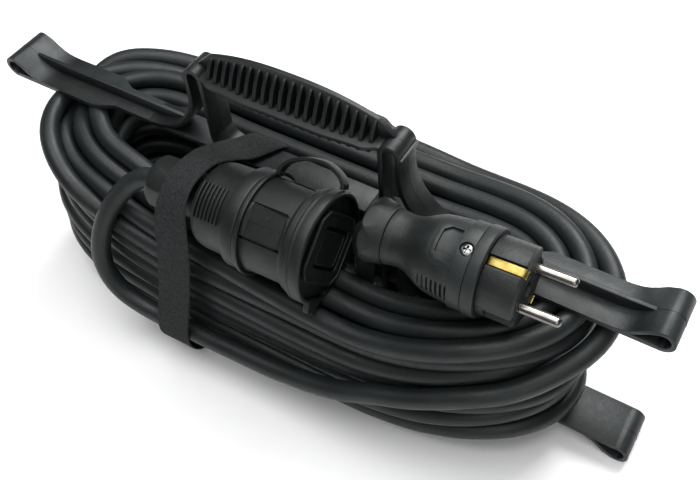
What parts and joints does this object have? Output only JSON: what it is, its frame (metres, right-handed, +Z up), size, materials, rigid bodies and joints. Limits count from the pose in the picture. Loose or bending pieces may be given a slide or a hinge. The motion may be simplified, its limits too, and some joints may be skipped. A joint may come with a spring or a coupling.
{
  "type": "extension lead on hand winder",
  "caption": "Black rubber extension lead with a plug and a capped coupling, coiled on a moulded hand winder with a ribbed grip.",
  "frame": {"origin": "on the standing surface under the centre of the winder, between its four tip loops", "axes": "+X along the winder towards the plug's pins, -Y the front with plug and coupling, +Z up through the grip"},
  "size_m": [0.3902, 0.1403, 0.1739],
  "materials": {
    "winder_plastic": "black moulded polypropylene, satin, fine mould texture, scuffed edges",
    "strap_fabric": "black woven hook-and-loop band, fuzzy matt face",
    "cable_rubber": "black heavy rubber cable sheath, dull sheen with talc-grey handling marks",
    "housing_rubber": "black moulded rubber housing, soft satin",
    "seal_rubber": "soft black sealing rubber, matt",
    "carrier_plastic": "black hard contact carrier, fine satin",
    "pin_metal": "nickel plated brass pins, bright with fine length-wise wear",
    "contact_brass": "plain brass contact strip, lightly brushed",
    "screw_steel": "zinc plated steel screws"
  },
  "bodies": {
    "winder": {"winder_frame": "winder_plastic", "hook_loop_strap": "strap_fabric", "cable_coil": "cable_rubber", "socket_lead": "cable_rubber", "plug_lead": "cable_rubber", "plug_housing": "housing_rubber", "plug_contact_carrier": "carrier_plastic", "plug_pin_line": "pin_metal", "plug_pin_neutral": "pin_metal", "plug_earth_strip_upper": "contact_brass", "plug_earth_strip_lower": "contact_brass", "plug_housing_screw": "screw_steel", "plug_terminal_screw_line": "screw_steel", "plug_terminal_screw_neutral": "screw_steel", "plug_cord_clamp": "carrier_plastic", "plug_clamp_screw_a": "screw_steel", "plug_clamp_screw_b": "screw_steel", "plug_cord_grommet": "seal_rubber", "coupling_shell": "housing_rubber", "coupling_rear_housing": "housing_rubber", "coupling_contact_carrier": "carrier_plastic", "coupling_sleeve_line": "contact_brass", "coupling_sleeve_neutral": "contact_brass", "coupling_earth_clip_upper": "contact_brass", "coupling_earth_clip_lower": "contact_brass", "coupling_centre_screw": "screw_steel", "coupling_cord_grommet": "seal_rubber", "coupling_cap_tether": "housing_rubber"},
    "cap": {"coupling_cap": "housing_rubber", "coupling_cap_seal": "seal_rubber"},
    "plug_nut": {"plug_gland_nut": "housing_rubber"},
    "coupling_nut": {"coupling_gland_nut": "housing_rubber"}
  },
  "joints": [
    {"name": "cap_pull", "type": "slide", "parent": "winder", "child": "cap", "axis": [0.9994, 0.015, 0.032], "range_m": [0, 0.002]},
    {"name": "plug_nut_turn", "type": "hinge", "parent": "winder", "child": "plug_nut", "pos_m": [0.06137, -0.02388, 0.12312], "axis": [0.9989, 0.014, 0.044], "continuous": true},
    {"name": "coupling_nut_turn", "type": "hinge", "parent": "winder", "child": "coupling_nut", "pos_m": [-0.04974, -0.0387, 0.10942], "axis": [0.9994, 0.015, 0.032], "continuous": true}
  ]
}
